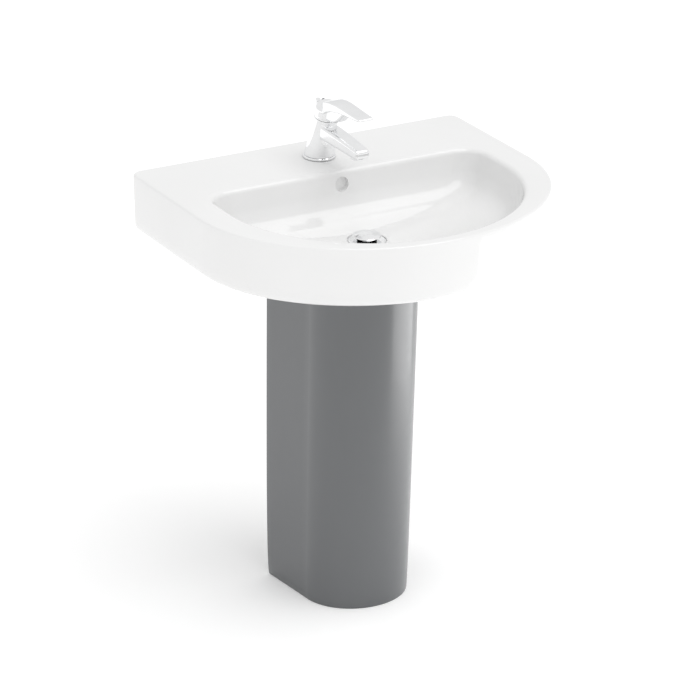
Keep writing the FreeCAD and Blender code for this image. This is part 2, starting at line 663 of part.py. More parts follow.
def tail_tube(side, radius):
    """A round bar along a tail: down from the tap, outwards on a slant, and down again."""
    near = side * size("tail_spread")
    far = side * size("tail_end_spread")
    back = size("tail_back")
    corners = [
        Vector(near, back, size("rim_height") + 25), Vector(near, back, size("tail_top_bend")),
        Vector(far, back, size("tail_low_bend")), Vector(far, back, size("tail_end") + 1),
    ]
    edges = []
    start = corners[0]
    for before, corner, after in zip(corners, corners[1:], corners[2:]):
        towards = (before - corner).normalize()
        onwards = (after - corner).normalize()
        half_turn = towards.getAngle(onwards) / 2
        reach = size("tail_bend") / math.tan(half_turn)
        middle = (towards + onwards).normalize()
        knee = corner + middle * (size("tail_bend") / math.sin(half_turn) - size("tail_bend"))
        entry = corner + towards * reach
        leave = corner + onwards * reach
        edges.append(Part.LineSegment(start, entry).toShape())
        edges.append(Part.Arc(entry, knee, leave).toShape())
        start = leave
    edges.append(Part.LineSegment(start, corners[-1]).toShape())
    section = Part.Wire(Part.makeCircle(radius, corners[0], Vector(0, 0, -1)))
    return Part.Wire(edges).makePipeShell([section], True, False)


def make_lift_linkage():
    """Lift rod and knob, strap with its thumb screw, and the pivot rod with its ball."""
    node(cylinder("lift_rod", "rod_radius", "knob_height + 8.9 - 689", ("0", "rod_back", "689")), "lift_rod")
    knob = [
        ("rod_radius", "0"), ("3.4", "0"), ("4.9", "2"), ("5", "4"), ("5", "10.5"), ("4.1", "12.4"),
        ("2", "13.4"), ("0", "13.6"), ("0", "9"), ("rod_radius", "9"),
    ]
    node(turned("lift_knob", knob, ("0", "rod_back", "knob_height")), "lift_knob")
    plate = block("StrapPlate", ("-5.5", "rod_back + 3.5", "618"), ("5.5", "rod_back + 5.5", "704"))
    head = block("StrapHead", ("-5.5", "rod_back - 4.5", "688"), ("5.5", "rod_back + 3.5", "704"))
    eye_level = "ball_height + (rod_back + 4.5 - waste_back - ball_offset) * tan(rod_rest_angle * 1 deg)"
    holes = [
        cylinder("StrapRodHole", "rod_radius + 0.05", "40", ("0", "rod_back", "680")),
        cylinder("StrapScrewHole", "2.05", "10", ("0", "rod_back + 1", "696"), "back"),
        cylinder("StrapEye", "rod_radius + 1.5", "10", ("0", "rod_back", eye_level), "back"),
    ]
    for index, level in enumerate((652, 664, 676)):
        holes.append(cylinder("StrapSpare%d" % index, "2.6", "10", ("0", "rod_back", str(level)), "back"))
    node(cut("StrapCut", fuse("StrapBlank", plate, head), *holes), "lift_strap")
    screw = [("0", "0"), ("2", "0"), ("2", "3"), ("6", "3"), ("6", "8"), ("5", "9"), ("0", "9")]
    node(turned("strap_screw", screw, ("0", "rod_back + 2.6", "696"), "back"), "strap_screw")
    bar = cylinder("PivotBar", "rod_radius", "208", ("0", "-32", "0"), "back")
    knuckle = ball("PivotBall", "ball_radius", ("0", "0", "0"))
    ball_hole = cylinder("PivotPinHole", "1", "20", ("0 - 10", "0", "0"), "right")
    pivot = cut("PivotRod", fuse("PivotBlank", bar, knuckle), ball_hole)
    pivot = stand(pivot, ("0", "waste_back + ball_offset", "ball_height"))
    pivot.Placement = Placement(pivot.Placement.Base, Rotation(Vector(1, 0, 0), size("rod_rest_angle")))
    node(pivot, "pivot_rod")


def make_waste():
    """Waste body with its tee, the seals and nut that clamp it, and the pop-up plug."""
    axis = ("0", "waste_back", "0")
    body = [
        ("waste_bore", "bowl_floor + 0.2"), ("waste_bore", "642"), ("pipe_radius + 0.1", "642"),
        ("pipe_radius + 0.1", "630"), ("waste_radius - 0.1", "630"), ("waste_radius - 0.1", "bowl_floor - 2"),
        ("flange_radius", "bowl_floor - 2"), ("flange_radius", "bowl_floor - 1"),
        ("flange_radius - 3", "bowl_floor + 1"), ("waste_bore + 2", "bowl_floor + 1"),
    ]
    tube = turned("WasteTube", body, axis)
    port = cylinder("TeePort", "9.5", "ball_offset + 12 - waste_bore - 1",
                    ("0", "waste_back + waste_bore + 1", "ball_height"), "back")
    tools = [
        cylinder("TeeThroat", "4.5", "30", ("0", "waste_back + 10", "ball_height"), "back"),
        cylinder("TeeBore", "ball_radius + 0.4", "30",
                 ("0", "waste_back + ball_offset - 6.4", "ball_height"), "back"),
        cylinder("SlotAlong", "3.6", "60", ("0", "waste_back - 30", "seat_height + 1"), "back"),
        cylinder("SlotAcross", "3.6", "60", ("-30", "waste_back", "seat_height + 1"), "right"),
    ]
    node(cut("WasteCut", fuse("WasteBlank", tube, port), *tools), "waste_body")
    node(ring("waste_seal", "waste_radius + 2", "flange_radius - 1", "1",
              ("0", "waste_back", "bowl_floor - 3")), "waste_seal")
    node(ring("waste_gasket", "waste_radius + 0.2", "waste_radius + 13", "2",
              ("0", "waste_back", "seat_height - 12")), "waste_gasket")
    nut_at = ("0", "waste_back", "seat_height - 24")
    nut = prism("WasteNutBar", "waste_radius + 11", "12", nut_at)
    node(cut("WasteNutCut", nut, cylinder("WasteNutBore", "waste_radius", "12", nut_at)), "waste_nut")
    node(ring("ball_seat", "4.6", "ball_radius + 0.3", "3.6",
              ("0", "waste_back + ball_offset + 6.2", "ball_height"), "back"), "ball_seat")
    cap = [
        ("9.6", "0"), ("12.4", "0"), ("13", "0.8"), ("13", "13"), ("12", "14"), ("5", "14"), ("5", "11.2"),
        ("9.6", "11.2"),
    ]
    node(turned("pivot_nut", cap, ("0", "waste_back + ball_offset + 1", "ball_height"), "back"), "pivot_nut")
    make_plug()


def make_plug():
    """Pop-up plug: domed head, stem and the eye that the pivot rod lifts."""
    seat = "bowl_floor + 1.3 + plug_lift"
    head = [
        ("0", "-62"), ("3.5", "-62"), ("3.5", "-9"), ("15.5", "-7"), ("15.5", "-4.4"), ("13.5", "-4.4"),
        ("13.5", "-1.6"), ("17", "-1.6"), ("17", "0"), ("26", "0"), ("26.5", "0.8"), ("25.5", "2.2"),
        ("19", "4.3"), ("10", "5.6"), ("0", "6"),
    ]
    blank = turned("PlugHead", head, ("0", "waste_back", seat))
    eye_level = "ball_height - ball_offset * tan(rod_rest_angle * 1 deg)"
    eye_block = cylinder("PlugEyeBlock", "6.5", "14", ("0", "waste_back", eye_level + " - 7"))
    eye_hole = cylinder("PlugEyeHole", "rod_radius + 1.1", "30", ("0", "waste_back - 15", eye_level), "back")
    node(cut("PlugCut", fuse("PlugBlank", blank, eye_block), eye_hole), "waste_plug")
    node(ring("plug_seal", "13.6", "18.6", "2.6", ("0", "waste_back", seat + " - 4.3")), "plug_seal")


def make_trap():
    """Tailpipe, bottle trap with its nuts and cup, outlet pipe and wall flange."""
    axis = ("0", "waste_back", "0")
    node(ring("tailpipe", "pipe_bore", "pipe_radius", "172", ("0", "waste_back", "470")), "tailpipe")
    shell = [
        ("16.4", "580"), ("16.4", "552"), ("28", "552"), ("28", "490"), ("31", "490"), ("31", "553"),
        ("28", "556"), ("19.5", "556"), ("19.5", "580"),
    ]
    stub = cylinder("OutletStub", "19.5", "42", ("0", "waste_back + 10", "outlet_height"), "back")
    core = cylinder("TrapCore", "28", "66", ("0", "waste_back", "491"))
    bore = cylinder("OutletBore", "16.4", "60", ("0", "waste_back + 10", "outlet_height"), "back")
    body = fuse("TrapBlank", turned("TrapShell", shell, axis), cut("StubOutside", stub, core))
    node(cut("TrapCut", body, bore), "trap_body")
    cup = [
        ("0", "440"), ("29", "440"), ("33", "442"), ("35", "446"), ("35", "506"), ("31.2", "506"),
        ("31.2", "487"), ("27", "487"), ("27", "448"), ("24", "445"), ("0", "445"),
    ]
    node(turned("trap_cup", cup, axis), "trap_cup")
    node(ring("trap_seal", "28", "31.1", "3", ("0", "waste_back", "487")), "trap_seal")
    inlet = [
        ("19.7", "566"), ("23.4", "566"), ("24", "567"), ("24", "586"), ("22", "589"), ("16.2", "589"),
        ("16.2", "582"), ("19.7", "582"),
    ]
    node(turned("trap_inlet_nut", inlet, axis), "trap_inlet_nut")
    outlet = [
        ("19.7", "0"), ("23.4", "0"), ("24", "1"), ("24", "20"), ("22", "23"), ("16.2", "23"), ("16.2", "16"),
        ("19.7", "16"),
    ]
    nut_at = ("0", "waste_back + 38", "outlet_height")
    node(turned("trap_outlet_nut", outlet, nut_at, "back"), "trap_outlet_nut")
    node(ring("outlet_pipe", "pipe_bore", "pipe_radius", "wall_plane - waste_back - 38",
              ("0", "waste_back + 38", "outlet_height"), "back"), "outlet_pipe")
    flange = [
        ("16.2", "0"), ("19", "0"), ("21", "2"), ("30", "6"), ("36", "8.6"), ("36", "10"), ("16.2", "10"),
    ]
    node(turned("wall_flange", flange, ("0", "wall_plane - 10", "outlet_height"), "back"), "wall_flange")


def export_nodes():
    """Checks every object, then writes one STEP file per sub-part."""
    doc.recompute()
    for obj in doc.Objects:
        if "Invalid" in obj.State or "Error" in obj.State:
            raise RuntimeError("%s failed: %s" % (obj.Name, obj.State))
    for obj in NODES:
        if obj.Shape.isNull() or not obj.Shape.isValid():
            raise RuntimeError("%s has no valid shape" % obj.Label)
    os.makedirs("parts", exist_ok=True)
    for obj in NODES:
        obj.Shape.exportStep("parts/%s.step" % obj.Label)
        print("%-20s solids %d volume %.0f" % (obj.Label, len(obj.Shape.Solids), obj.Shape.Volume))


fill_sheet()
make_basin()
make_pedestal()
make_seat_gasket()
make_tap_body()
make_tap_trim()
make_cartridge()
make_lever()
make_tap_fixing()
make_lift_linkage()
make_waste()
make_trap()
export_nodes()
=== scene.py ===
"""Glazed basin on a grey pedestal, with its chrome tap and waste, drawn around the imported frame."""
import json
import math

import bpy
from bpy.props import FloatProperty, FloatVectorProperty, IntProperty, PointerProperty
from mathutils import Matrix, Vector


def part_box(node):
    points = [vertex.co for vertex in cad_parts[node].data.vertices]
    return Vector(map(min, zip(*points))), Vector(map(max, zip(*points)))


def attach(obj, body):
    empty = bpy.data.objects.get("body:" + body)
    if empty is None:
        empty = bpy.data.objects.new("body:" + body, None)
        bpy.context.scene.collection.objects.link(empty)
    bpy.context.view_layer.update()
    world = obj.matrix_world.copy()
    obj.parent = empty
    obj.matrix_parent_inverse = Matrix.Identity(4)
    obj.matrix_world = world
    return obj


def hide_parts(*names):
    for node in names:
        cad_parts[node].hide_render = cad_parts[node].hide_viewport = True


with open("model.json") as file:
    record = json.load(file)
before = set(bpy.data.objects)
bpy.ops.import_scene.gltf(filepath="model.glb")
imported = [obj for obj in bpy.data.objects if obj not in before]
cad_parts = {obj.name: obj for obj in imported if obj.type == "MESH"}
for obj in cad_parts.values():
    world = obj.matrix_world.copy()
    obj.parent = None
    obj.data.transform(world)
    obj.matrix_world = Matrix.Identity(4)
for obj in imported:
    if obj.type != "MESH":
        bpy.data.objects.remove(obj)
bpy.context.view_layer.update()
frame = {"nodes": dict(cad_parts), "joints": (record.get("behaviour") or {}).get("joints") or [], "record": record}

bl_info = {
    "name": "Pedestal basin",
    "version": (1, 0, 0),
    "blender": (4, 5, 0),
    "location": "View3D > Sidebar > Basin",
    "description": "Models a pedestal basin with its tap and waste around a fixed frame",
    "category": "Add Mesh",
}

MM = 0.001

BASIN_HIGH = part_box("basin")[1]
PEDESTAL_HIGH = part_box("pedestal")[1]
PLATE_LOW, PLATE_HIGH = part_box("tap_base_plate")
PLUG_LOW, PLUG_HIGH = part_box("waste_plug")
KNOB_LOW, KNOB_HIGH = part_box("lift_knob")
RIM = BASIN_HIGH[2]
WALL = BASIN_HIGH[1]
WASTE_Y = (PLUG_LOW[1] + PLUG_HIGH[1]) / 2
TAP_Y = (PLATE_LOW[1] + PLATE_HIGH[1]) / 2
ROD_X = (KNOB_LOW[0] + KNOB_HIGH[0]) / 2
ROD_Y = (KNOB_LOW[1] + KNOB_HIGH[1]) / 2
TAP_HOLE_RADIUS = 17.5 * MM
BOLT_HOLE_RADIUS = 7 * MM
BOLT_X = 140 * MM
BOLT_DROP = 60 * MM
LUG_HOLE_RADIUS = 4 * MM
LUG_HOLE_X = 82 * MM
LUG_HOLE_Y = 122 * MM
CHAMBER_RADIUS = 17 * MM
AERATOR_Y = 60 * MM
AERATOR_FOOT = RIM + 40 * MM
AERATOR_BORE = 10 * MM
AERATOR_SEAT = 12.1 * MM
ROD_BORE = 3 * MM
HOOD_CAVITY = 21.95 * MM
HOOD_TRIM_ANGLE = math.radians(13)
HOOD_TRIM_LIFT = 6.8 * MM


def joint_facts(name):
    """The record's entry for one joint."""
    for joint in frame["joints"]:
        if joint["name"] == name:
            return joint
    raise RuntimeError("the frame has no joint named " + name)


TILT_PIVOT = Vector(joint_facts("lever_tilt")["pos_m"])
LEAN_AXIS = Vector(joint_facts("lever_swivel")["axis"])
LEAN = math.atan2(-LEAN_AXIS.y, LEAN_AXIS.z)


class BasinSizes(bpy.types.PropertyGroup):
    """Sizes of the white casting."""
    half_width: FloatProperty(name="Half width", description="Middle to the widest side",
                              default=BASIN_HIGH[0],
                              subtype="DISTANCE", unit="LENGTH")
    apron: FloatProperty(name="Apron", description="Height of the outer skirt", default=115 * MM,
                         subtype="DISTANCE", unit="LENGTH")
    draft: FloatProperty(name="Draft", description="How much the skirt draws in at its foot",
                         default=4.5 * MM,
                         subtype="DISTANCE", unit="LENGTH")
    straight_end: FloatProperty(name="Straight end",
                                description="Where the straight sides meet the front curve",
                                default=24 * MM, subtype="DISTANCE", unit="LENGTH")
    rim_round: FloatProperty(name="Rim round", description="Rounding of the outer rim", default=5 * MM,
                             subtype="DISTANCE", unit="LENGTH")
    foot_round: FloatProperty(name="Foot round", description="Rounding of the skirt's lower edge",
                              default=17 * MM,
                              subtype="DISTANCE", unit="LENGTH")
    skirt_wall: FloatProperty(name="Skirt wall", description="Thickness of the skirt", default=11 * MM,
                              subtype="DISTANCE", unit="LENGTH")
    deck: FloatProperty(name="Deck", description="Thickness of the tap deck", default=14 * MM,
                        subtype="DISTANCE", unit="LENGTH")
    bowl_half: FloatProperty(name="Bowl half width", description="Bowl below its lip", default=286 * MM,
                             subtype="DISTANCE", unit="LENGTH")
    bowl_back: FloatProperty(name="Bowl back", description="Back wall of the bowl", default=113 * MM,
                             subtype="DISTANCE", unit="LENGTH")
    bowl_front: FloatProperty(name="Bowl front", description="Front wall of the bowl", default=-252 * MM,
                              subtype="DISTANCE", unit="LENGTH")
    bowl_floor: FloatProperty(name="Bowl floor", description="Height of the floor at the waste",
                              default=716 * MM,
                              subtype="DISTANCE", unit="LENGTH")
    bowl_wall: FloatProperty(name="Bowl wall", description="Thickness of the bowl", default=10 * MM,
                             subtype="DISTANCE", unit="LENGTH")
    lip: FloatProperty(name="Lip", description="Radius of the bowl's rolled lip", default=11 * MM,
                       subtype="DISTANCE", unit="LENGTH")
    overflow: FloatProperty(name="Overflow", description="Radius of the overflow hole", default=14 * MM,
                            subtype="DISTANCE", unit="LENGTH")
    overflow_drop: FloatProperty(name="Overflow drop", description="Overflow centre below the rim",
                                 default=27 * MM, subtype="DISTANCE", unit="LENGTH")
    arc_steps: IntProperty(name="Arc steps", description="Faces round the front curve", default=96, min=16)


class PedestalSizes(bpy.types.PropertyGroup):
    """Sizes of the grey pedestal."""
    foot_back: FloatProperty(name="Foot back", description="Half width of the foot at the back",
                             default=115.5 * MM,
                             subtype="DISTANCE", unit="LENGTH")
    foot_mid: FloatProperty(name="Foot middle", description="Half width where the front curve starts",
                            default=105 * MM, subtype="DISTANCE", unit="LENGTH")
    foot_depth: FloatProperty(name="Foot depth", description="Depth of the front curve", default=94 * MM,
                              subtype="DISTANCE", unit="LENGTH")
    middle: FloatProperty(name="Middle", description="Centre of the front curve", default=36.5 * MM,
                          subtype="DISTANCE", unit="LENGTH")
    flare_back: FloatProperty(name="Back flare", description="Widening of the back edges", default=16.4 * MM,
                              subtype="DISTANCE", unit="LENGTH")
    flare_front: FloatProperty(name="Front flare", description="Widening of the front", default=5.4 * MM,
                               subtype="DISTANCE", unit="LENGTH")
    wall: FloatProperty(name="Wall", description="Thickness of the pedestal", default=11 * MM,
                        subtype="DISTANCE", unit="LENGTH")
    foot_bead: FloatProperty(name="Foot bead", description="Rounding of the lower edge", default=3 * MM,
                             subtype="DISTANCE", unit="LENGTH")
    arc_steps: IntProperty(name="Arc steps", description="Faces round the front curve", default=72, min=16)


class TapSizes(bpy.types.PropertyGroup):
    """Sizes of the tap body, spout and lever."""
    top_radius: FloatProperty(name="Top radius", description="Tap body at its top", default=22 * MM,
                              subtype="DISTANCE", unit="LENGTH")
    foot_radius: FloatProperty(name="Foot radius", description="Tap body at its foot", default=28.6 * MM,
                               subtype="DISTANCE", unit="LENGTH")
    body_top: FloatProperty(name="Body top", description="Length of the body along its lean", default=88 * MM,
                            subtype="DISTANCE", unit="LENGTH")
    hood_radius: FloatProperty(name="Hood radius", description="Hood of the lever", default=22.3 * MM,
                               subtype="DISTANCE", unit="LENGTH")
    voxel: FloatProperty(name="Voxel", description="Grid that blends the castings", default=0.8 * MM,
                         subtype="DISTANCE", unit="LENGTH")


class FinishColours(bpy.types.PropertyGroup):
    """Colours of the finishes."""
    white_glaze: FloatVectorProperty(name="White glaze", description="Glaze of the basin", subtype="COLOR",
                                     size=3, default=(0.825, 0.825, 0.823), min=0, max=1)
    grey_glaze: FloatVectorProperty(name="Grey glaze", description="Glaze of the pedestal", subtype="COLOR",
                                    size=3, default=(0.056, 0.061, 0.066), min=0, max=1)
    chrome: FloatVectorProperty(name="Chrome", description="Plated parts", subtype="COLOR",
                                size=3, default=(0.96, 0.963, 0.968), min=0, max=1)


class StudioSettings(bpy.types.PropertyGroup):
    """Camera, floor and lights."""
    azimuth: FloatProperty(name="Azimuth", description="Camera left of the front, in degrees", default=31.2)
    elevation: FloatProperty(name="Elevation", description="Camera above the horizon, in degrees",
                             default=23.15)
    roll: FloatProperty(name="Roll", description="Camera roll in degrees", default=1.37)
    distance: FloatProperty(name="Distance", description="Camera to the middle of the view", default=6.77,
                            subtype="DISTANCE", unit="LENGTH")
    lens: FloatProperty(name="Lens", description="Focal length in millimetres", default=189.1)
    target: FloatVectorProperty(name="Target", description="Middle of the view", size=3,
                                default=(-0.0424, -0.0015, 0.5121), subtype="XYZ")
    world_light: FloatProperty(name="World light", description="Strength of the white surroundings",
                               default=0.86)
    sun_light: FloatProperty(name="Sun light", description="Strength of the broad overhead light",
                             default=0.86)
    side_light: FloatProperty(name="Side light", description="Power of the soft light at the right",
                              default=3.2)


def let_go():
    """Object mode with nothing selected."""
    if bpy.context.object and bpy.context.object.mode != "OBJECT":
        bpy.ops.object.mode_set(mode="OBJECT")
    bpy.ops.object.select_all(action="DESELECT")


def hold(piece):
    """Makes one piece the only selected and active object."""
    let_go()
    piece.select_set(True)
    bpy.context.view_layer.objects.active = piece


def begin_edit(piece, mode="VERT"):
    """Edit mode on one piece with nothing selected."""
    hold(piece)
    bpy.ops.object.mode_set(mode="EDIT")
    bpy.ops.mesh.select_mode(type=mode)
    bpy.ops.mesh.select_all(action="DESELECT")


def end_edit():
    """Leaves edit mode."""
    bpy.ops.object.mode_set(mode="OBJECT")


def pick(piece, test, kind="VERT"):
    """Selects the vertices or edges of the edited piece whose place passes a test."""
    bpy.ops.mesh.select_all(action="DESELECT")
    bpy.ops.object.mode_set(mode="OBJECT")
    mesh = piece.data
    if kind == "VERT":
        for vertex in mesh.vertices:
            vertex.select = test(vertex.co)
    else:
        for edge in mesh.edges:
            ends = [mesh.vertices[index].co for index in edge.vertices]
            edge.select = test(ends[0]) and test(ends[1])
    bpy.ops.object.mode_set(mode="EDIT")


def new_piece(name):
    """Names the object that was just added."""
    piece = bpy.context.object
    piece.name = name
    piece.data.name = name
    return piece


def apply_all(piece):
    """Applies the piece's place and every modifier."""
    hold(piece)
    bpy.ops.object.transform_apply(location=True, rotation=True, scale=True)
    for modifier in list(piece.modifiers):
        bpy.ops.object.modifier_apply(modifier=modifier.name)


def clean(piece, merge=1e-6):
    """Merges doubles and points every face outwards."""
    begin_edit(piece)
    bpy.ops.mesh.select_all(action="SELECT")
    bpy.ops.mesh.remove_doubles(threshold=merge)
    bpy.ops.mesh.normals_make_consistent(inside=False)
    end_edit()


def smooth(piece, degrees=35):
    """Smooth shading that keeps edges sharper than an angle."""
    hold(piece)
    bpy.ops.object.shade_smooth_by_angle(angle=math.radians(degrees), keep_sharp_edges=False)


def boolean(piece, other, operation):
    """Joins, cuts or intersects with another object, which is then removed."""
    modifier = piece.modifiers.new("Boolean", "BOOLEAN")
    modifier.operation = operation
    modifier.solver = "EXACT"
    modifier.object = other
    hold(piece)
    bpy.ops.object.modifier_apply(modifier=modifier.name)
    bpy.data.objects.remove(other)


def place_tool(name, low, high):
    """A box between two corners."""
    let_go()
    middle = [(a + b) / 2 for a, b in zip(low, high)]
    bpy.ops.mesh.primitive_cube_add(size=1, location=middle, scale=[b - a for a, b in zip(low, high)])
    piece = new_piece(name)
    apply_all(piece)
    return piece


def round_tool(name, radius, start, end, steps=64):
    """A cylinder between two points."""
    let_go()
    start = Vector(start)
    end = Vector(end)
    run = end - start
    turn = run.to_track_quat("Z", "Y").to_euler()
    bpy.ops.mesh.primitive_cylinder_add(vertices=steps, radius=radius, depth=run.length,
                                        location=(start + end) / 2, rotation=turn)
    piece = new_piece(name)
    apply_all(piece)
    return piece


def turned_piece(name, profile, foot, axis=(0, 0, 1), steps=96):
    """A piece spun from (radius, height) points about an axis that starts at foot."""
    let_go()
    bpy.ops.mesh.primitive_plane_add(size=1)
    piece = new_piece(name)
    begin_edit(piece)
    bpy.ops.mesh.select_all(action="SELECT")
    bpy.ops.mesh.merge(type="CENTER")
    radius, height = profile[0]
    bpy.ops.transform.translate(value=(radius, 0, height))
    for (near, low), (far, high) in zip(profile, profile[1:]):
        bpy.ops.mesh.extrude_vertices_move(TRANSFORM_OT_translate={"value": (far - near, 0, high - low)})
    bpy.ops.mesh.select_all(action="SELECT")
    bpy.ops.mesh.spin(steps=steps, angle=2 * math.pi, center=(0, 0, 0), axis=(0, 0, 1))
    end_edit()
    turn = Vector(axis).to_track_quat("Z", "Y").to_matrix().to_4x4()
    piece.matrix_world = Matrix.Translation(Vector(foot)) @ turn
    apply_all(piece)
    clean(piece)
    return piece


def half_round(steps, first, last):
    """Shares of a quarter round: pairs (sine, one minus cosine) between two angles in degrees."""
    pairs = []
    for step in range(steps + 1):
        angle = math.radians(first + (last - first) * step / steps)
        pairs.append((math.sin(angle), 1 - math.cos(angle)))
    return pairs


def d_outline(name, half, back, middle, front, corner, level, steps):
    """A closed D-shaped line: elliptical front, straight sides, round back corners, straight back."""
    let_go()
    bpy.ops.mesh.primitive_circle_add(vertices=2 * steps, radius=1)
    piece = new_piece(name)
    begin_edit(piece)
    pick(piece, lambda spot: spot.y > 1e-4)
    bpy.ops.mesh.delete(type="VERT")
    bpy.ops.mesh.select_all(action="SELECT")
    bpy.ops.transform.resize(value=(half, middle - front, 1), center_override=(0, 0, 0))
    bpy.ops.transform.translate(value=(0, middle, level))
    side_steps = 8
    corner_steps = 8
    for side in (1, -1):
        pick(piece, lambda spot: abs(spot.x - side * half) < 1e-5 and spot.y > middle - 1e-5)
        run = (back - corner - middle) / side_steps
        for step in range(side_steps):
            bpy.ops.mesh.extrude_vertices_move(TRANSFORM_OT_translate={"value": (0, run, 0)})
        bpy.ops.mesh.spin(steps=corner_steps, angle=-side * math.pi / 2,
                          center=(side * (half - corner), back - corner, level), axis=(0, 0, 1))
    pick(piece, lambda spot: spot.y > back - 1e-5)
    bpy.ops.mesh.edge_face_add()
    bpy.ops.mesh.subdivide(number_cuts=15)
    end_edit()
    return piece


def add_rows(piece, rows):
    """Extrudes the selected loop through rows of (half width, back, front, level)."""
    for before, after in zip(rows, rows[1:]):
        half, back, front, level = before
        new_half, new_back, new_front, new_level = after
        stretch = (new_half / half, (new_back - new_front) / (back - front), 1)
        bpy.ops.mesh.extrude_edges_move()
        bpy.ops.transform.resize(value=stretch, center_override=(0, (back + front) / 2, level))
        shift = (new_back + new_front) / 2 - (back + front) / 2
        bpy.ops.transform.translate(value=(0, shift, new_level - level))


def bowl_rows(sizes, grow, sink):
    """The bowl from its lip to its floor, as (half width, back, front, level)."""
    rows = []
    for sine, rise in reversed(half_round(7, 0, 88)):
        out = sizes.lip * rise + grow
        rows.append((sizes.bowl_half + out, sizes.bowl_back + out, sizes.bowl_front - out,
                     RIM - sizes.lip * (1 - sine) - sink))
    depth = RIM - sizes.lip - sizes.bowl_floor
    knots = ((1.0, 0, 0, 0), (0.8, 3.8, 2.4, 6), (0.6, 9.6, 6.4, 14), (0.42, 22, 14, 28), (0.28, 46, 26, 52),
             (0.18, 80, 38, 86), (0.10, 125, 45.5, 124), (0.045, 172, 50.5, 166), (0.0, 238, 55, 226))
    fine = 5
    for place in range(len(knots) - 1):
        for step in range(1, fine + 1):
            share, side, rear, fore = curve_point(knots, place, step / fine)
            rows.append((sizes.bowl_half - side * MM + grow, sizes.bowl_back - rear * MM + grow,
                         sizes.bowl_front + fore * MM - grow, sizes.bowl_floor + depth * share - sink))
    return rows


def curve_point(knots, place, share):
    """A point on the smooth curve through knots, between one knot and the next."""
    last = len(knots) - 1
    around = [knots[max(place - 1, 0)], knots[place], knots[place + 1], knots[min(place + 2, last)]]
    result = []
    for a, b, c, d in zip(*around):
        slope_b = (c - a) / 2
        slope_c = (d - b) / 2
        cube = 2 * b - 2 * c + slope_b + slope_c
        square = -3 * b + 3 * c - 2 * slope_b - slope_c
        result.append(((cube * share + square) * share + slope_b) * share + b)
    return result


def skirt_rows(sizes):
    """The skirt from the rim down to its foot and up inside to the deck's underside."""
    half = sizes.half_width
    foot = RIM - sizes.apron
    height = sizes.apron - sizes.rim_round
    rows = []
    for sine, rise in half_round(5, 90, 0):
        inset = sizes.rim_round * rise
        rows.append((inset, RIM - sizes.rim_round * (1 - sine)))
    for step in range(1, 7):
        share = step / 6
        level = RIM - sizes.rim_round - (height - sizes.foot_round) * share
        rows.append((sizes.draft * (RIM - sizes.rim_round - level) / height, level))
    for sine, rise in half_round(8, 8, 66):
        level = foot + sizes.foot_round * (1 - sine)
        rows.append((sizes.draft + sizes.foot_round * rise, level))
    inner = sizes.draft + sizes.skirt_wall
    rows.append((inner + 1 * MM, foot + 6 * MM))
    rows.append((inner, foot + 14 * MM))
    rows.append((sizes.skirt_wall + 2 * MM, RIM - sizes.deck - 12 * MM))
    rows.append((sizes.skirt_wall + 2.5 * MM, RIM - sizes.deck - 3 * MM))
    rows.append((sizes.skirt_wall + 4 * MM, RIM - sizes.deck))
    result = []
    for inset, level in rows:
        behind = WALL
        if inset > sizes.draft:
            behind = WALL - (inset - sizes.draft)
        elif level > RIM - sizes.rim_round:
            behind = WALL - inset
        result.append((half - inset, behind, -WALL + inset, level))
    return result


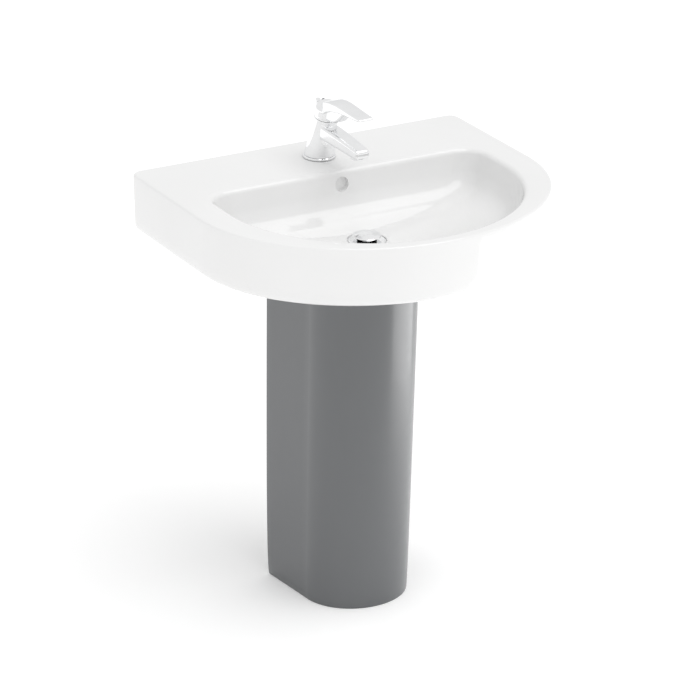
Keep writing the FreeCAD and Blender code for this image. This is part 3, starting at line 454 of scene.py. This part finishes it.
class SINK_OT_basin(bpy.types.Operator):
    """White basin: skirt, rolled rim, bowl, overflow and tap hole"""
    bl_idname = "sink.basin"
    bl_label = "Basin"

    def execute(self, context):
        sizes = context.scene.sink_basin
        outer = skirt_rows(sizes)
        half, back, front, level = outer[0]
        piece = d_outline("basin_glaze", half, back, sizes.straight_end, front, 14 * MM, level,
                          sizes.arc_steps)
        begin_edit(piece)
        bpy.ops.mesh.select_all(action="SELECT")
        add_rows(piece, outer)
        end_edit()
        bowl = bowl_rows(sizes, 0, 0)
        half, back, front, level = bowl[0]
        inner = d_outline("bowl_face", half, back, WASTE_Y, front, 46 * MM, level, sizes.arc_steps)
        begin_edit(inner)
        bpy.ops.mesh.select_all(action="SELECT")
        add_rows(inner, bowl)
        end_edit()
        under = bowl_rows(sizes, sizes.bowl_wall, sizes.bowl_wall + 1 * MM)
        under = [row for row in under if row[3] < RIM - sizes.deck - 2 * MM]
        half, back, front, level = under[0]
        shell = d_outline("bowl_under", half, back, WASTE_Y, front, 52 * MM, level, sizes.arc_steps)
        begin_edit(shell)
        bpy.ops.mesh.select_all(action="SELECT")
        add_rows(shell, under)
        end_edit()
        waste = self.waste_wall(sizes)
        hold(piece)
        for other in (inner, shell, waste):
            other.select_set(True)
        bpy.ops.object.join()
        self.close_gaps(piece, sizes, outer, bowl, under)
        clean(piece, 1e-5)
        self.pierce(piece, sizes)
        smooth(piece, 40)
        piece.data.materials.clear()
        piece.data.materials.append(glaze("white_glaze", context.scene.sink_colours.white_glaze, 0.05))
        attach(piece, "root")
        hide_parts("basin")
        return {"FINISHED"}

    def waste_wall(self, sizes):
        """Recess, waste hole and boss, from the bowl floor down to the underside."""
        steps = ((38.2, 0), (36.9, -0.4), (36.5, -1.4), (36.5, -3), (23, -3), (23, -26), (40, -26),
                 (42, -24), (43.5, -13))
        profile = [(radius * MM, rise * MM) for radius, rise in steps]
        return turned_piece("waste_wall", profile, (0, WASTE_Y, sizes.bowl_floor), steps=64)

    def close_gaps(self, piece, sizes, outer, bowl, under):
        """Closes the casting between its loops."""
        begin_edit(piece, "EDGE")
        floor = sizes.bowl_floor
        pairs = (
            lambda spot: spot.z > RIM - 1e-5 or abs(spot.z - bowl[0][3]) < 1e-6,
            lambda spot: abs(spot.z - floor) < 1e-5,
            lambda spot: abs(spot.z - outer[-1][3]) < 1e-5 or abs(spot.z - under[0][3]) < 1e-5,
            lambda spot: abs(spot.z - under[-1][3]) < 1e-5 or abs(spot.z - (floor - 13 * MM)) < 1e-5,
        )
        for test in pairs:
            pick(piece, test, "EDGE")
            bpy.ops.mesh.select_non_manifold(extend=False, use_wire=False, use_boundary=True,
                                             use_multi_face=False, use_non_contiguous=False, use_verts=False)
            bpy.ops.object.mode_set(mode="OBJECT")
            mesh = piece.data
            for edge in mesh.edges:
                ends = [mesh.vertices[index].co for index in edge.vertices]
                edge.select = edge.select and test(ends[0]) and test(ends[1])
            bpy.ops.object.mode_set(mode="EDIT")
            bpy.ops.mesh.fill(use_beauty=True)
        end_edit()

    def pierce(self, piece, sizes):
        """Tap hole, overflow and wall-bolt holes."""
        level = RIM - sizes.overflow_drop
        cuts = [
            round_tool("tap_hole", TAP_HOLE_RADIUS, (0, TAP_Y, RIM - 30 * MM), (0, TAP_Y, RIM + 5 * MM)),
            round_tool("overflow_hole", sizes.overflow, (0, sizes.bowl_back - 12 * MM, level),
                       (0, sizes.bowl_back + 7 * MM, level)),
        ]
        for side in (-1, 1):
            across = side * BOLT_X
            cuts.append(round_tool("bolt_hole", BOLT_HOLE_RADIUS, (across, WALL - 30 * MM, RIM - BOLT_DROP),
                                   (across, WALL + 5 * MM, RIM - BOLT_DROP), 32))
        for tool in cuts:
            boolean(piece, tool, "DIFFERENCE")


class SINK_OT_pedestal(bpy.types.Operator):
    """Grey pedestal: a flared shell open at the back, with its webs and foot lugs"""
    bl_idname = "sink.pedestal"
    bl_label = "Pedestal"

    def execute(self, context):
        sizes = context.scene.sink_pedestal
        top = PEDESTAL_HIGH[2]
        back = PEDESTAL_HIGH[1]
        let_go()
        bpy.ops.mesh.primitive_circle_add(vertices=2 * sizes.arc_steps, radius=1)
        piece = new_piece("pedestal_glaze")
        begin_edit(piece)
        pick(piece, lambda spot: spot.y > 1e-4)
        bpy.ops.mesh.delete(type="VERT")
        bpy.ops.mesh.select_all(action="SELECT")
        bpy.ops.transform.resize(value=(sizes.foot_mid, sizes.foot_depth, 1), center_override=(0, 0, 0))
        bpy.ops.transform.translate(value=(0, sizes.middle, 0))
        for side in (1, -1):
            pick(piece, lambda spot: abs(spot.x - side * sizes.foot_mid) < 1e-6)
            run = (side * (sizes.foot_back - sizes.foot_mid), back - sizes.middle, 0)
            bpy.ops.mesh.extrude_vertices_move(TRANSFORM_OT_translate={"value": run})
        bpy.ops.mesh.select_all(action="SELECT")
        levels = [top * (step / 26) ** 1.7 for step in range(27)]
        for before, after in zip(levels, levels[1:]):
            bpy.ops.mesh.extrude_edges_move()
            bpy.ops.transform.translate(value=(0, 0, after - before))
            grown = self.front(sizes, after, top) / self.front(sizes, before, top)
            bpy.ops.transform.resize(value=(grown, 1, 1), center_override=(0, sizes.middle, after))
            deeper = (sizes.foot_depth - sizes.foot_mid + self.front(sizes, after, top)) / (
                sizes.foot_depth - sizes.foot_mid + self.front(sizes, before, top))
            pick(piece, lambda spot: spot.z > after - 1e-6 and spot.y < sizes.middle + 1e-6)
            bpy.ops.transform.resize(value=(1, deeper, 1), center_override=(0, sizes.middle, after))
            pick(piece, lambda spot: spot.z > after - 1e-6 and spot.y > back - 1e-6)
            wide = self.rear(sizes, after, top) / (self.rear(sizes, before, top) * grown)
            bpy.ops.transform.resize(value=(wide, 1, 1), center_override=(0, back, after))
            pick(piece, lambda spot: spot.z > after - 1e-6)
        end_edit()
        self.divide_sides(piece, sizes)
        clean(piece)
        self.face_out(piece)
        self.thicken(piece, sizes)
        clean(piece)
        self.add_webs(piece, sizes, back)
        smooth(piece, 35)
        piece.data.materials.clear()
        piece.data.materials.append(glaze("grey_glaze", context.scene.sink_colours.grey_glaze, 0.28, 1.9))
        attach(piece, "root")
        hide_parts("pedestal")
        return {"FINISHED"}

    def face_out(self, piece):
        """Points the open sheet's faces outwards, so that its wall grows inwards."""
        foremost = min(piece.data.polygons, key=lambda face: face.center.y)
        if foremost.normal.y > 0:
            begin_edit(piece, "FACE")
            bpy.ops.mesh.select_all(action="SELECT")
            bpy.ops.mesh.flip_normals()
            end_edit()

    def front(self, sizes, level, top):
        """Half width where the front curve starts, at one level."""
        return sizes.foot_mid + sizes.flare_front * (level / top) ** 0.6

    def rear(self, sizes, level, top):
        """Half width of the open back, at one level."""
        return sizes.foot_back + sizes.flare_back * (level / top) ** 0.45

    def divide_sides(self, piece, sizes):
        """Cuts the long side faces into upright strips."""
        begin_edit(piece, "EDGE")
        pick(piece, lambda spot: spot.y > sizes.middle - 1e-6, "EDGE")
        bpy.ops.object.mode_set(mode="OBJECT")
        mesh = piece.data
        for edge in mesh.edges:
            ends = [mesh.vertices[index].co for index in edge.vertices]
            edge.select = edge.select and abs(ends[0].z - ends[1].z) < 1e-6
        bpy.ops.object.mode_set(mode="EDIT")
        bpy.ops.mesh.subdivide(number_cuts=7)
        end_edit()

    def thicken(self, piece, sizes):
        """Gives the sheet its wall, inwards, and rounds its edges."""
        solid = piece.modifiers.new("Wall", "SOLIDIFY")
        solid.thickness = sizes.wall
        solid.offset = -1
        solid.use_even_offset = True
        edge = piece.modifiers.new("Edges", "BEVEL")
        edge.width = sizes.foot_bead
        edge.segments = 4
        edge.limit_method = "ANGLE"
        edge.angle_limit = math.radians(60)
        apply_all(piece)

    def add_webs(self, piece, sizes, back):
        """Cross webs and foot lugs, as boxes that meet the inner wall."""
        for low in (60 * MM, 582 * MM):
            half = self.rear(sizes, low, PEDESTAL_HIGH[2]) - 6 * MM
            web = place_tool("web", (-half, back - 12 * MM, low), (half, back - 1 * MM, low + 20 * MM))
            boolean(piece, web, "UNION")
        for side in (-1, 1):
            near = sorted((side * 62 * MM, side * 106 * MM))
            lug = place_tool("lug", (near[0], 104 * MM, 0.2 * MM), (near[1], 150 * MM, 12 * MM))
            boolean(piece, lug, "UNION")
            hole = round_tool("lug_hole", LUG_HOLE_RADIUS, (side * LUG_HOLE_X, LUG_HOLE_Y, -2 * MM),
                              (side * LUG_HOLE_X, LUG_HOLE_Y, 14 * MM), 32)
            boolean(piece, hole, "DIFFERENCE")


def melt(piece, voxel, rounds):
    """Blends a joined casting so that its parts meet in soft fillets."""
    apply_all(piece)
    remesh = piece.modifiers.new("Blend", "REMESH")
    remesh.mode = "VOXEL"
    remesh.voxel_size = voxel
    soften = piece.modifiers.new("Soften", "SMOOTH")
    soften.factor = 0.5
    soften.iterations = rounds
    apply_all(piece)


def shift_profile(rows):
    """Rows of a bar along Y: (y, half width, low, high), in millimetres above the rim."""
    return [(y * MM, half * MM, RIM + low * MM, RIM + high * MM) for y, half, low, high in rows]


def bar_piece(name, rows, corner):
    """A bar that runs forward through rows of (y, half width, low, high), with soft long edges."""
    let_go()
    y, half, low, high = rows[0]
    bpy.ops.mesh.primitive_plane_add(size=1, location=(0, y, (low + high) / 2), rotation=(math.pi / 2, 0, 0))
    piece = new_piece(name)
    apply_all(piece)
    begin_edit(piece, "FACE")
    bpy.ops.mesh.select_all(action="SELECT")
    bpy.ops.transform.resize(value=(2 * half, 1, high - low), center_override=(0, y, (low + high) / 2))
    for before, after in zip(rows, rows[1:]):
        y, half, low, high = before
        new_y, new_half, new_low, new_high = after
        bpy.ops.mesh.extrude_region_move(TRANSFORM_OT_translate={"value": (0, new_y - y, 0)})
        stretch = (new_half / half, 1, (new_high - new_low) / (high - low))
        bpy.ops.transform.resize(value=stretch, center_override=(0, new_y, (low + high) / 2))
        bpy.ops.transform.translate(value=(0, 0, (new_low + new_high) / 2 - (low + high) / 2))
    end_edit()
    clean(piece)
    edge = piece.modifiers.new("Edges", "BEVEL")
    edge.width = corner
    edge.segments = 5
    edge.limit_method = "ANGLE"
    edge.angle_limit = math.radians(40)
    apply_all(piece)
    return piece


class SINK_OT_tap(bpy.types.Operator):
    """Tap body: leaning column and level spout in one casting"""
    bl_idname = "sink.tap"
    bl_label = "Tap body"

    def execute(self, context):
        sizes = context.scene.sink_tap
        foot = Vector((0, TAP_Y, RIM))
        base = 12 * MM
        let_go()
        bpy.ops.mesh.primitive_cone_add(vertices=128, radius1=sizes.foot_radius + 1 * MM,
                                        radius2=sizes.top_radius, depth=sizes.body_top + base,
                                        location=foot + LEAN_AXIS * (sizes.body_top - base) / 2,
                                        rotation=(LEAN, 0, 0))
        column = new_piece("tap_casting")
        apply_all(column)
        begin_edit(column)
        bpy.ops.mesh.select_all(action="SELECT")
        bpy.ops.mesh.bisect(plane_co=(0, TAP_Y, PLATE_HIGH[2]), plane_no=(0, 0, 1), use_fill=True,
                            clear_inner=True)
        end_edit()
        rows = shift_profile(((180, 17.5, 46, 72), (150, 17.6, 46, 71), (120, 17.2, 45.6, 69.2),
                              (90, 16.3, 45, 67), (62, 15.4, 44.3, 64.2), (44, 14.8, 44.4, 62.2),
                              (38.2, 13.6, 46, 60)))
        boolean(column, bar_piece("spout_bar", rows, 5 * MM), "UNION")
        melt(column, sizes.voxel, 6)
        chamber = round_tool("chamber", CHAMBER_RADIUS, foot + LEAN_AXIS * 74 * MM,
                             foot + LEAN_AXIS * 100 * MM, 96)
        boolean(column, chamber, "DIFFERENCE")
        under = Vector((0, AERATOR_Y, AERATOR_FOOT))
        aerator = round_tool("aerator_bore", AERATOR_BORE, under, under + Vector((0, 0, 19.5 * MM)))
        seat = round_tool("aerator_seat", AERATOR_SEAT, under, under + Vector((0, 0, 13 * MM)))
        boolean(column, seat, "DIFFERENCE")
        boolean(column, aerator, "DIFFERENCE")
        rod = Vector((ROD_X, ROD_Y, RIM + 1 * MM))
        bore = round_tool("rod_bore", ROD_BORE, rod, rod + Vector((0, 0, 120 * MM)), 32)
        boolean(column, bore, "DIFFERENCE")
        smooth(column, 40)
        dress(column, chrome("chrome", context.scene.sink_colours.chrome))
        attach(column, "root")
        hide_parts("tap_body")
        return {"FINISHED"}


class SINK_OT_lever(bpy.types.Operator):
    """Lever: leaning hood with a level blade"""
    bl_idname = "sink.lever"
    bl_label = "Lever"

    def execute(self, context):
        sizes = context.scene.sink_tap
        foot = Vector((0, TAP_Y, RIM))
        radius = sizes.hood_radius
        profile = [(0, 90 * MM), (radius, 90 * MM), (radius, 104 * MM)]
        for sine, rise in half_round(9, 0, 86):
            profile.append((radius - rise * 19 * MM, 104 * MM + sine * 17 * MM))
        profile.append((0, 121.4 * MM))
        hood = turned_piece("lever_casting", profile, foot, LEAN_AXIS, 128)
        blade_rows = shift_profile((
            (168, 13, 102, 117), (158, 17.4, 97.6, 121.6), (146, 18.8, 105, 125),
            (132, 18.8, 110.3, 127.3), (112, 17.9, 114.6, 128.5), (86, 16.9, 117.6, 127.6),
            (58, 16.4, 118.7, 126), (38, 15.9, 119.9, 125.3), (32, 15.4, 120.4, 124.8),
            (30.3, 14, 121, 124.2)))
        boolean(hood, bar_piece("lever_bar", blade_rows, 2.2 * MM), "UNION")
        prow_rows = shift_profile((
            (168, 12, 84, 112), (146, 12, 86, 118), (128, 11.8, 88, 120), (118, 11.5, 93, 122),
            (104, 11, 105, 124), (92, 10.5, 115.4, 124.6)))
        boolean(hood, bar_piece("lever_prow", prow_rows, 4 * MM), "UNION")
        melt(hood, sizes.voxel, 5)
        trim_turn = LEAN + HOOD_TRIM_ANGLE
        lift = Vector((0, -math.sin(trim_turn), math.cos(trim_turn)))
        self.trim_foot(hood, TILT_PIVOT + lift * HOOD_TRIM_LIFT, lift)
        let_go()
        bpy.ops.mesh.primitive_uv_sphere_add(segments=96, ring_count=48, radius=HOOD_CAVITY,
                                             location=TILT_PIVOT)
        cavity = new_piece("hood_cavity")
        apply_all(cavity)
        boolean(hood, cavity, "DIFFERENCE")
        smooth(hood, 40)
        dress(hood, chrome("chrome", context.scene.sink_colours.chrome))
        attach(hood, "lever")
        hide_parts("lever_handle")
        return {"FINISHED"}

    def trim_foot(self, hood, cut_at, lift):
        """Cuts the hood's foot on a slant, so that its back clears the turret ring when it tips."""
        let_go()
        bpy.ops.mesh.primitive_cube_add(size=1, location=cut_at - lift * 30 * MM,
                                        rotation=(math.atan2(-lift.y, lift.z), 0, 0),
                                        scale=(90 * MM, 62 * MM, 60 * MM))
        wedge = new_piece("foot_wedge")
        apply_all(wedge)
        boolean(hood, wedge, "DIFFERENCE")


def grain(tree, scale, detail=3.0, stretch=(1, 1, 1)):
    """Noise in the object's own coordinates."""
    place = tree.nodes.new("ShaderNodeTexCoord")
    mapping = tree.nodes.new("ShaderNodeMapping")
    mapping.inputs["Scale"].default_value = stretch
    noise = tree.nodes.new("ShaderNodeTexNoise")
    noise.inputs["Scale"].default_value = scale
    noise.inputs["Detail"].default_value = detail
    tree.links.new(place.outputs["Object"], mapping.inputs["Vector"])
    tree.links.new(mapping.outputs["Vector"], noise.inputs["Vector"])
    return noise


def spread(tree, source, low, high):
    """Maps a 0 to 1 value into a range."""
    ramp = tree.nodes.new("ShaderNodeMapRange")
    ramp.inputs["From Min"].default_value = 0.3
    ramp.inputs["From Max"].default_value = 0.7
    ramp.inputs["To Min"].default_value = low
    ramp.inputs["To Max"].default_value = high
    tree.links.new(source, ramp.inputs["Value"])
    return ramp.outputs["Result"]


def blend_colours(tree, share, first, second):
    """A colour between two, by a 0 to 1 value."""
    mix = tree.nodes.new("ShaderNodeMix")
    mix.data_type = "RGBA"
    mix.inputs["A"].default_value = (*first, 1)
    mix.inputs["B"].default_value = (*second, 1)
    tree.links.new(share, mix.inputs["Factor"])
    return mix.outputs["Result"]


def relief(tree, shader, height, strength, distance):
    """Bump from a height value."""
    bump = tree.nodes.new("ShaderNodeBump")
    bump.inputs["Strength"].default_value = strength
    bump.inputs["Distance"].default_value = distance
    tree.links.new(height, bump.inputs["Height"])
    tree.links.new(bump.outputs["Normal"], shader.inputs["Normal"])


def blank_finish(name):
    """A new material and its shader, or the one that is there already."""
    found = bpy.data.materials.get(name + "_finish")
    if found:
        return found, None, None
    material = bpy.data.materials.new(name + "_finish")
    material.use_nodes = True
    tree = material.node_tree
    return material, tree, tree.nodes["Principled BSDF"]


def dress(piece, material):
    """Gives a piece one material."""
    piece.data.materials.clear()
    piece.data.materials.append(material)


def glaze(name, colour, roughness, index=1.52):
    """Fired glaze over clay: faint tone drift, a wet coat and the slightest orange peel."""
    material, tree, shader = blank_finish(name)
    if tree is None:
        return material
    drift = grain(tree, 5.0, 2.0)
    tone = spread(tree, drift.outputs["Fac"], 0, 1)
    darker = [channel * 0.975 for channel in colour]
    tree.links.new(blend_colours(tree, tone, darker, colour), shader.inputs["Base Color"])
    peel = grain(tree, 55.0, 2.0)
    tree.links.new(spread(tree, peel.outputs["Fac"], roughness, roughness + 0.06), shader.inputs["Roughness"])
    relief(tree, shader, peel.outputs["Fac"], 0.05, 0.0006)
    shader.inputs["IOR"].default_value = index
    shader.inputs["Coat Weight"].default_value = 0.35
    shader.inputs["Coat Roughness"].default_value = roughness / 3
    return material


def chrome(name, colour):
    """Bright plate with faint wiping marks."""
    material, tree, shader = blank_finish(name)
    if tree is None:
        return material
    smear = grain(tree, 38.0, 4.0, (1, 1, 2.2))
    share = spread(tree, smear.outputs["Fac"], 0, 1)
    darker = [channel * 0.965 for channel in colour]
    tree.links.new(blend_colours(tree, share, darker, colour), shader.inputs["Base Color"])
    tree.links.new(spread(tree, smear.outputs["Fac"], 0.09, 0.15), shader.inputs["Roughness"])
    shader.inputs["Specular Tint"].default_value = (0.9, 0.905, 0.91, 1)
    shader.inputs["Metallic"].default_value = 1.0
    return material


def metal(name, colour, rough_low, rough_high, stretch):
    """Drawn or turned metal with fine lines along one way."""
    material, tree, shader = blank_finish(name)
    if tree is None:
        return material
    lines = grain(tree, 220.0, 4.0, stretch)
    share = spread(tree, lines.outputs["Fac"], 0, 1)
    darker = [channel * 0.8 for channel in colour]
    tree.links.new(blend_colours(tree, share, darker, colour), shader.inputs["Base Color"])
    tree.links.new(spread(tree, lines.outputs["Fac"], rough_low, rough_high), shader.inputs["Roughness"])
    relief(tree, shader, lines.outputs["Fac"], 0.15, 0.0002)
    shader.inputs["Metallic"].default_value = 1.0
    return material


def moulding(name, colour, rough_low, rough_high, grit):
    """Moulded rubber or plastic with a fine grit."""
    material, tree, shader = blank_finish(name)
    if tree is None:
        return material
    grit_noise = grain(tree, grit, 3.0)
    share = spread(tree, grit_noise.outputs["Fac"], 0, 1)
    darker = [channel * 0.85 for channel in colour]
    tree.links.new(blend_colours(tree, share, darker, colour), shader.inputs["Base Color"])
    tree.links.new(spread(tree, grit_noise.outputs["Fac"], rough_low, rough_high), shader.inputs["Roughness"])
    relief(tree, shader, grit_noise.outputs["Fac"], 0.2, 0.0002)
    return material


class SINK_OT_fittings(bpy.types.Operator):
    """Finishes on the parts that keep their frame shape"""
    bl_idname = "sink.fittings"
    bl_label = "Fittings"

    def execute(self, context):
        colours = context.scene.sink_colours
        finishes = {
            "chrome": lambda: chrome("chrome", colours.chrome),
            "steel": lambda: metal("steel", (0.55, 0.55, 0.56), 0.22, 0.4, (1, 1, 0.08)),
            "brass": lambda: metal("brass", (0.71, 0.53, 0.24), 0.2, 0.38, (1, 1, 0.2)),
            "copper": lambda: metal("copper", (0.72, 0.36, 0.22), 0.18, 0.34, (1, 1, 0.05)),
            "black_rubber": lambda: moulding("black_rubber", (0.035, 0.035, 0.036), 0.6, 0.8, 900),
            "white_plastic": lambda: moulding("white_plastic", (0.78, 0.78, 0.76), 0.35, 0.5, 600),
            "grey_plastic": lambda: moulding("grey_plastic", (0.22, 0.225, 0.24), 0.25, 0.4, 600),
            "white_glaze": lambda: glaze("white_glaze", colours.white_glaze, 0.05),
            "grey_glaze": lambda: glaze("grey_glaze", colours.grey_glaze, 0.28, 1.9),
        }
        for entry in frame["record"]["subparts"]:
            node = frame["nodes"][entry["node"]]
            dress(node, finishes[entry["material_slot"]]())
        return {"FINISHED"}


class SINK_OT_studio(bpy.types.Operator):
    """Pale floor, soft lights and the camera"""
    bl_idname = "sink.studio"
    bl_label = "Studio"

    def execute(self, context):
        settings = context.scene.sink_studio
        self.camera(context, settings)
        self.floor()
        self.lights(context, settings)
        return {"FINISHED"}

    def camera(self, context, settings):
        """Places the camera by its angles, distance and target."""
        azimuth = math.radians(settings.azimuth)
        rise = math.radians(settings.elevation)
        roll = math.radians(settings.roll)
        level = Vector((math.sin(azimuth), math.cos(azimuth), 0))
        forward = level * math.cos(rise) - Vector((0, 0, math.sin(rise)))
        right = Vector((math.cos(azimuth), -math.sin(azimuth), 0))
        up = right.cross(forward)
        across = right * math.cos(roll) + up * math.sin(roll)
        above = up * math.cos(roll) - right * math.sin(roll)
        data = bpy.data.cameras.new("camera")
        data.lens = settings.lens
        data.sensor_width = 36
        data.clip_end = 60
        camera = bpy.data.objects.new("camera", data)
        context.scene.collection.objects.link(camera)
        turn = Matrix((across, above, -forward)).transposed().to_4x4()
        camera.matrix_world = Matrix.Translation(Vector(settings.target) - forward * settings.distance) @ turn
        context.scene.camera = camera

    def floor(self):
        """A wide white floor that takes the soft shadow."""
        let_go()
        bpy.ops.mesh.primitive_plane_add(size=30, location=(0, 0, -0.0005))
        plane = new_piece("studio_floor")
        apply_all(plane)
        material, tree, shader = blank_finish("floor")
        tone = spread(tree, grain(tree, 1.5, 2.0).outputs["Fac"], 0, 1)
        white = blend_colours(tree, tone, (0.96, 0.96, 0.96), (0.98, 0.98, 0.98))
        tree.links.new(white, shader.inputs["Base Color"])
        shader.inputs["Roughness"].default_value = 0.9
        shader.inputs["Specular IOR Level"].default_value = 0.1
        shader.inputs["Emission Color"].default_value = (1, 1, 1, 1)
        shader.inputs["Emission Strength"].default_value = 0.08
        dress(plane, material)

    def lights(self, context, settings):
        """White surroundings, a broad light overhead and a soft one at the right."""
        world = bpy.data.worlds.new("studio")
        world.use_nodes = True
        world.node_tree.nodes["Background"].inputs["Color"].default_value = (1, 1, 1, 1)
        world.node_tree.nodes["Background"].inputs["Strength"].default_value = settings.world_light
        context.scene.world = world
        context.scene.view_settings.view_transform = "Standard"
        sun_data = bpy.data.lights.new("sun_light", "SUN")
        sun_data.energy = settings.sun_light
        sun_data.angle = math.radians(50)
        sun = bpy.data.objects.new("sun_light", sun_data)
        context.scene.collection.objects.link(sun)
        sun.matrix_world = Vector((-0.18, 0.42, -0.95)).to_track_quat("-Z", "Y").to_matrix().to_4x4()
        side_data = bpy.data.lights.new("side_light", "AREA")
        side_data.shape = "RECTANGLE"
        side_data.size = 1.1
        side_data.size_y = 0.5
        side_data.energy = settings.side_light
        side = bpy.data.objects.new("side_light", side_data)
        context.scene.collection.objects.link(side)
        place = Vector((0.98, -0.36, 0.24))
        aim = Vector((0, 0, 0.2)) - place
        side.matrix_world = Matrix.Translation(place) @ aim.to_track_quat("-Z", "Y").to_matrix().to_4x4()


class SINK_PT_panel(bpy.types.Panel):
    """Buttons for each piece of the basin"""
    bl_label = "Pedestal basin"
    bl_idname = "SINK_PT_panel"
    bl_space_type = "VIEW_3D"
    bl_region_type = "UI"
    bl_category = "Basin"

    def draw(self, context):
        for operator in OPERATORS:
            self.layout.operator(operator.bl_idname)


OPERATORS = (SINK_OT_studio, SINK_OT_fittings, SINK_OT_basin, SINK_OT_pedestal, SINK_OT_tap, SINK_OT_lever)
GROUPS = (
    (BasinSizes, "sink_basin"), (PedestalSizes, "sink_pedestal"), (TapSizes, "sink_tap"),
    (FinishColours, "sink_colours"), (StudioSettings, "sink_studio"),
)


def register():
    for group, name in GROUPS:
        bpy.utils.register_class(group)
        setattr(bpy.types.Scene, name, PointerProperty(type=group))
    for operator in OPERATORS:
        bpy.utils.register_class(operator)
    bpy.utils.register_class(SINK_PT_panel)


def unregister():
    bpy.utils.unregister_class(SINK_PT_panel)
    for operator in reversed(OPERATORS):
        bpy.utils.unregister_class(operator)
    for group, name in reversed(GROUPS):
        delattr(bpy.types.Scene, name)
        bpy.utils.unregister_class(group)


def main():
    register()
    bpy.ops.sink.studio()
    bpy.ops.sink.fittings()
    bpy.ops.sink.basin()
    bpy.ops.sink.pedestal()
    bpy.ops.sink.tap()
    bpy.ops.sink.lever()
    let_go()


if __name__ == "__main__":
    main()
